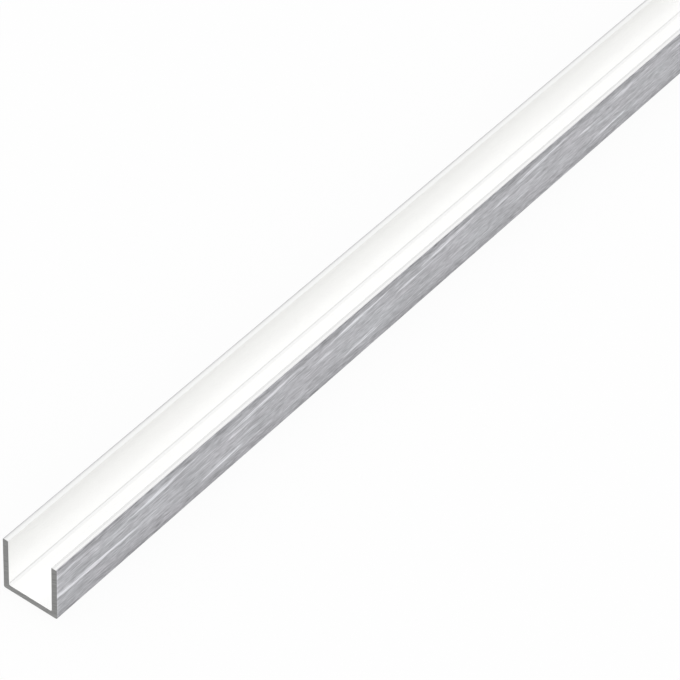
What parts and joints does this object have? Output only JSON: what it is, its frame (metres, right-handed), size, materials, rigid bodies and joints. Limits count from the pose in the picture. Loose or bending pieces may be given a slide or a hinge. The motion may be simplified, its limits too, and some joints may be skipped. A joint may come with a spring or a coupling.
{
  "type": "aluminium U profile",
  "caption": "Straight length of thin-walled square U channel extruded in bare aluminium, open along one side and sawn square at both ends.",
  "frame": {"origin": "middle of the web's underside, halfway along the length", "axes": "+X along the profile, +Y across the web towards one flange, +Z out of the open side of the channel"},
  "size_m": [1, 0.015, 0.015],
  "materials": {
    "aluminium": "mill finish, brushed along its length, with duller sawn ends"
  },
  "bodies": {
    "root": {"u_profile": "aluminium"}
  },
  "joints": []
}
